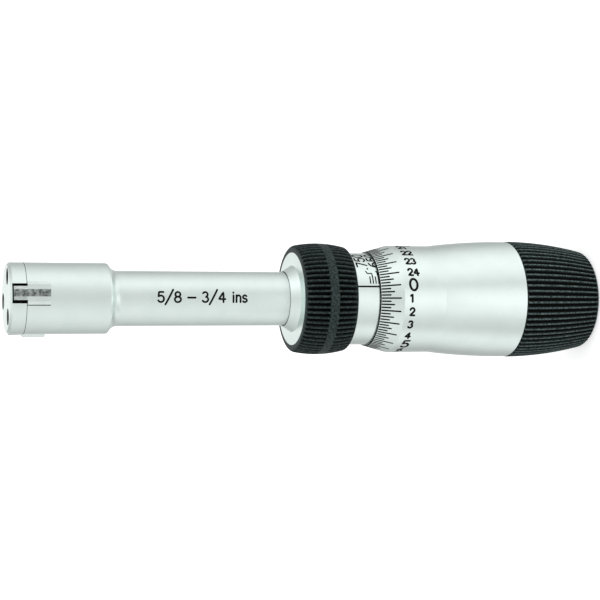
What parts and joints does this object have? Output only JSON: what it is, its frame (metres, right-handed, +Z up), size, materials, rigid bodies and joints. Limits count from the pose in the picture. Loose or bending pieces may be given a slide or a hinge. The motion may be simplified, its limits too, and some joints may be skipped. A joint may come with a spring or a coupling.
{
  "type": "three-point inside micrometer",
  "caption": "Three-point inside micrometer: a cone in the head spreads sliding contacts as the thimble turns, with a slim shank, fluted grip ring and ratchet knob.",
  "frame": {"origin": "centre of the flat end of the ratchet knob, on the spindle axis", "axes": "+Z up the spindle axis to the measuring head; contact 1 faces -Y; the index line lies 7.5 degrees from -Y towards +X"},
  "size_m": [0.0262, 0.0262, 0.1317],
  "materials": {
    "satin_steel": "satin chrome plate on turned steel",
    "dark_steel": "hardened and oiled steel",
    "ground_steel": "ground steel",
    "hard_metal": "lapped hard metal",
    "bronze": "turned bronze",
    "black_plastic": "satin moulded plastic"
  },
  "bodies": {
    "frame": {"measuring_head": "satin_steel", "head_cap": "satin_steel", "cap_screws": "dark_steel", "retracting_ring": "dark_steel", "frame_collar": "satin_steel", "grip_ring": "black_plastic", "sleeve": "satin_steel", "barrel": "dark_steel", "adjusting_nut": "dark_steel", "rod_bush": "bronze"},
    "plunger": {"push_rod": "satin_steel", "measuring_cone": "dark_steel", "thrust_ball": "dark_steel", "spring_collar": "bronze", "return_spring": "dark_steel"},
    "thimble": {"spindle": "satin_steel", "thimble": "satin_steel", "ratchet_driver": "dark_steel", "ratchet_screw": "satin_steel"},
    "knob": {"ratchet_knob": "black_plastic", "ratchet_disc": "bronze", "ratchet_spring": "dark_steel"},
    "contact_1": {"anvil_1": "ground_steel", "anvil_tip_1": "hard_metal"},
    "contact_2": {"anvil_2": "ground_steel", "anvil_tip_2": "hard_metal"},
    "contact_3": {"anvil_3": "ground_steel", "anvil_tip_3": "hard_metal"}
  },
  "joints": [
    {"name": "plunger_slide", "type": "slide", "parent": "frame", "child": "plunger", "axis": [0, 0, 1], "range_m": [-0.00032, 0.00127], "deforming": ["return_spring"]},
    {"name": "thimble_turn", "type": "hinge", "parent": "plunger", "child": "thimble", "pos_m": [0, 0, 0.05], "axis": [0, 0, 1], "range_deg": [-180, 720]},
    {"name": "knob_turn", "type": "hinge", "parent": "thimble", "child": "knob", "pos_m": [0, 0, 0.01], "axis": [0, 0, 1], "continuous": true},
    {"name": "contact_1_slide", "type": "slide", "parent": "frame", "child": "contact_1", "axis": [0, -1, 0], "range_m": [-0.00032, 0.00127], "deforming": ["retracting_ring"]},
    {"name": "contact_2_slide", "type": "slide", "parent": "frame", "child": "contact_2", "axis": [0.866, 0.5, 0], "range_m": [-0.00032, 0.00127], "deforming": ["retracting_ring"]},
    {"name": "contact_3_slide", "type": "slide", "parent": "frame", "child": "contact_3", "axis": [-0.866, 0.5, 0], "range_m": [-0.00032, 0.00127], "deforming": ["retracting_ring"]}
  ],
  "couplings": [
    {"joint": "thimble_turn", "follows": "plunger_slide", "rad_per_m": 9894.8},
    {"joint": "contact_1_slide", "follows": "plunger_slide", "ratio": 1},
    {"joint": "contact_2_slide", "follows": "plunger_slide", "ratio": 1},
    {"joint": "contact_3_slide", "follows": "plunger_slide", "ratio": 1}
  ]
}
